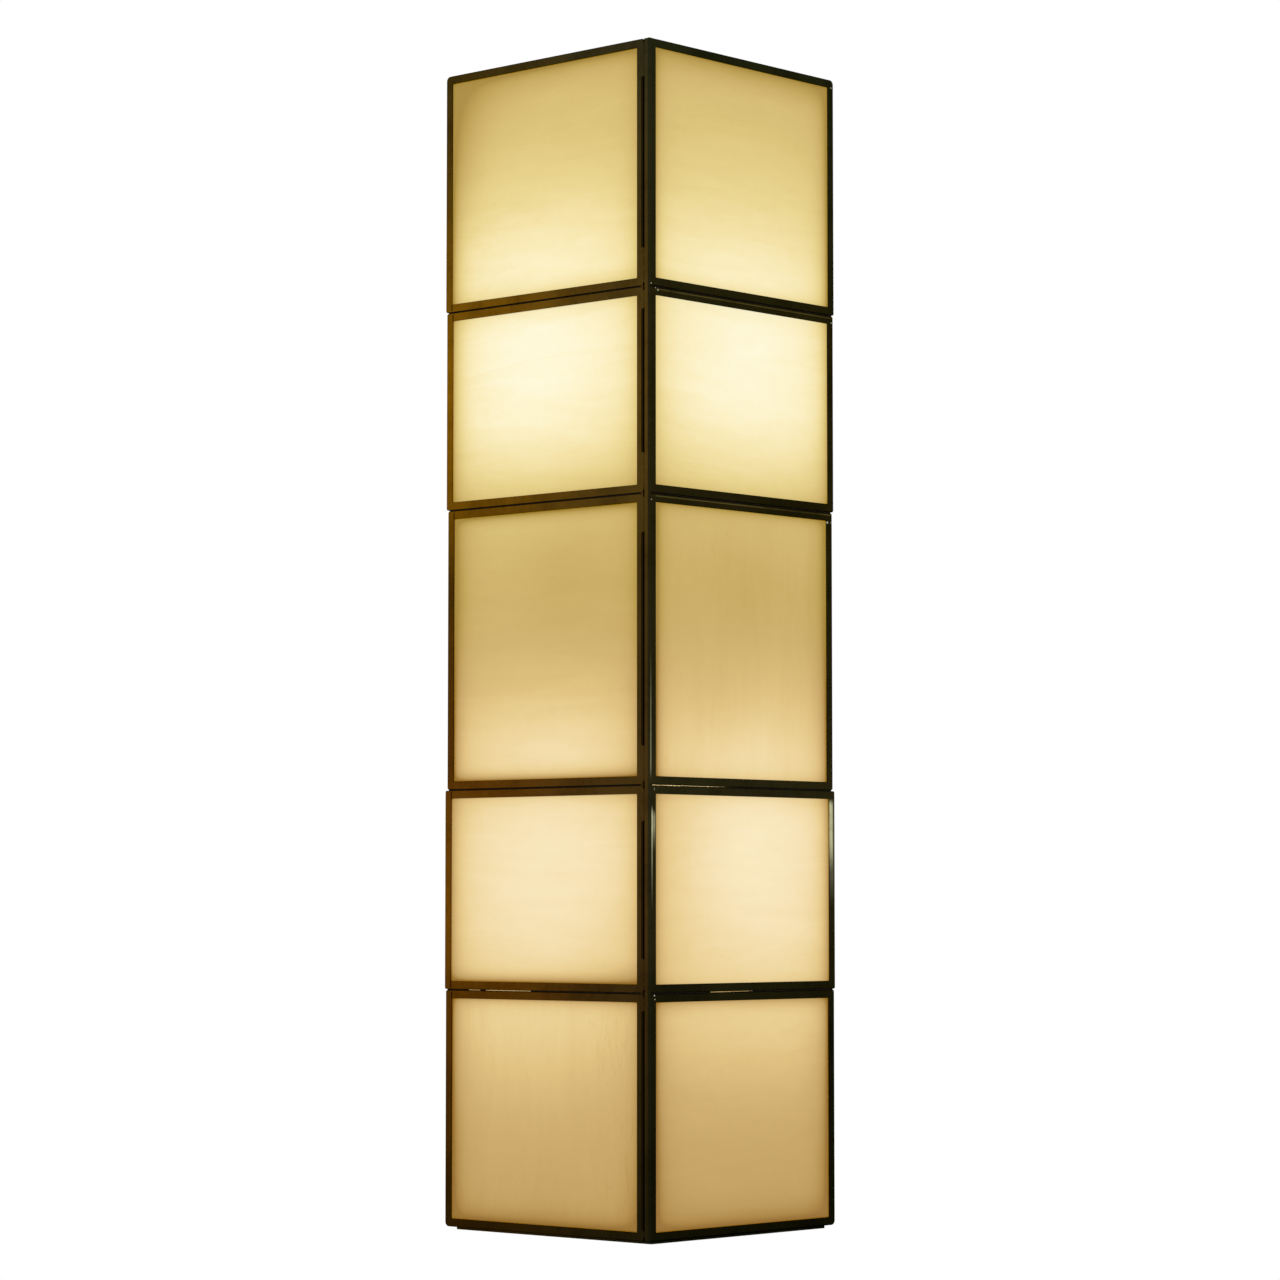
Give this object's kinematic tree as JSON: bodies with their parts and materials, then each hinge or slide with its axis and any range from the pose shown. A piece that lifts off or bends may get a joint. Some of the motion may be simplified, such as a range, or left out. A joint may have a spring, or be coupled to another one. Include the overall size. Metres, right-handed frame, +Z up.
{
  "type": "wall lamp",
  "caption": "Tall corner-fronted wall lantern: stacked dark metal frames with lit opal glass panes, hung on studs from a wall plate that carries the lampholders.",
  "frame": {"origin": "middle of the wall plate's four screw holes, on the wall plane", "axes": "+Y into the wall, -Y out to the lantern's front corner, +X to the viewer's right, +Z up"},
  "size_m": [0.4898, 0.255, 1.4567],
  "materials": {
    "dark_bronze": "dark brown patina under glossy lacquer",
    "opal_glass": "streaked opal glass, lit from behind",
    "clip_brass": "plain bent strip",
    "braze": "filler beads patinated with the frames",
    "white_enamel": "white stove enamel",
    "porcelain": "glazed white",
    "socket_brass": "rolled thread shell",
    "cap_aluminium": "rolled thread cap",
    "bulb_glass": "opal bulb glass, lit",
    "lead_sleeve": "woven glass sleeve",
    "terminal_plastic": "moulded",
    "black_rubber": "soft",
    "zinc_steel": "zinc plated",
    "lock_brass": "turned and bronzed"
  },
  "bodies": {
    "wall_mounting": {"wall_plate": "white_enamel", "hanging_studs": "zinc_steel", "upper_shelf": "white_enamel", "lower_shelf": "white_enamel", "lampholder_1": "porcelain", "lampholder_2": "porcelain", "lampholder_3": "porcelain", "lampholder_4": "porcelain", "holder_shell_1": "socket_brass", "holder_shell_2": "socket_brass", "holder_shell_3": "socket_brass", "holder_shell_4": "socket_brass", "holder_nuts": "zinc_steel", "terminal_block": "terminal_plastic", "terminal_screws": "zinc_steel", "cable_grommet": "black_rubber", "lead_1": "lead_sleeve", "lead_2": "lead_sleeve", "lead_3": "lead_sleeve", "lead_4": "lead_sleeve", "lead_clips": "zinc_steel", "plate_screws": "zinc_steel"},
    "lantern": {"corner_strip": "dark_bronze", "left_frame_1": "dark_bronze", "left_frame_2": "dark_bronze", "left_frame_3": "dark_bronze", "left_frame_4": "dark_bronze", "left_frame_5": "dark_bronze", "right_frame_1": "dark_bronze", "right_frame_2": "dark_bronze", "right_frame_3": "dark_bronze", "right_frame_4": "dark_bronze", "right_frame_5": "dark_bronze", "left_glass_1": "opal_glass", "left_glass_2": "opal_glass", "left_glass_3": "opal_glass", "left_glass_4": "opal_glass", "left_glass_5": "opal_glass", "right_glass_1": "opal_glass", "right_glass_2": "opal_glass", "right_glass_3": "opal_glass", "right_glass_4": "opal_glass", "right_glass_5": "opal_glass", "glass_clips": "clip_brass", "braze_beads": "braze", "top_plate": "dark_bronze", "bottom_plate": "dark_bronze", "left_upright": "dark_bronze", "right_upright": "dark_bronze", "lock_nut": "lock_brass"},
    "bulb_1": {"bulb_cap_1": "cap_aluminium", "bulb_globe_1": "bulb_glass"},
    "bulb_2": {"bulb_cap_2": "cap_aluminium", "bulb_globe_2": "bulb_glass"},
    "bulb_3": {"bulb_cap_3": "cap_aluminium", "bulb_globe_3": "bulb_glass"},
    "bulb_4": {"bulb_cap_4": "cap_aluminium", "bulb_globe_4": "bulb_glass"},
    "lock_screw_body": {"lock_screw": "lock_brass"}
  },
  "joints": [
    {"name": "lantern_lift", "type": "slide", "parent": "wall_mounting", "child": "lantern", "axis": [0, 0, 1], "range_m": [0, 0.013]},
    {"name": "bulb_1_out", "type": "slide", "parent": "wall_mounting", "child": "bulb_1", "axis": [0, 0, 1], "range_m": [0, 0.03]},
    {"name": "bulb_2_out", "type": "slide", "parent": "wall_mounting", "child": "bulb_2", "axis": [0, 0, 1], "range_m": [0, 0.03]},
    {"name": "bulb_3_out", "type": "slide", "parent": "wall_mounting", "child": "bulb_3", "axis": [0, 0, 1], "range_m": [0, 0.03]},
    {"name": "bulb_4_out", "type": "slide", "parent": "wall_mounting", "child": "bulb_4", "axis": [0, 0, 1], "range_m": [0, 0.03]},
    {"name": "lock_screw_out", "type": "slide", "parent": "wall_mounting", "child": "lock_screw_body", "axis": [0, 0, -1], "range_m": [0, 0.009]}
  ]
}
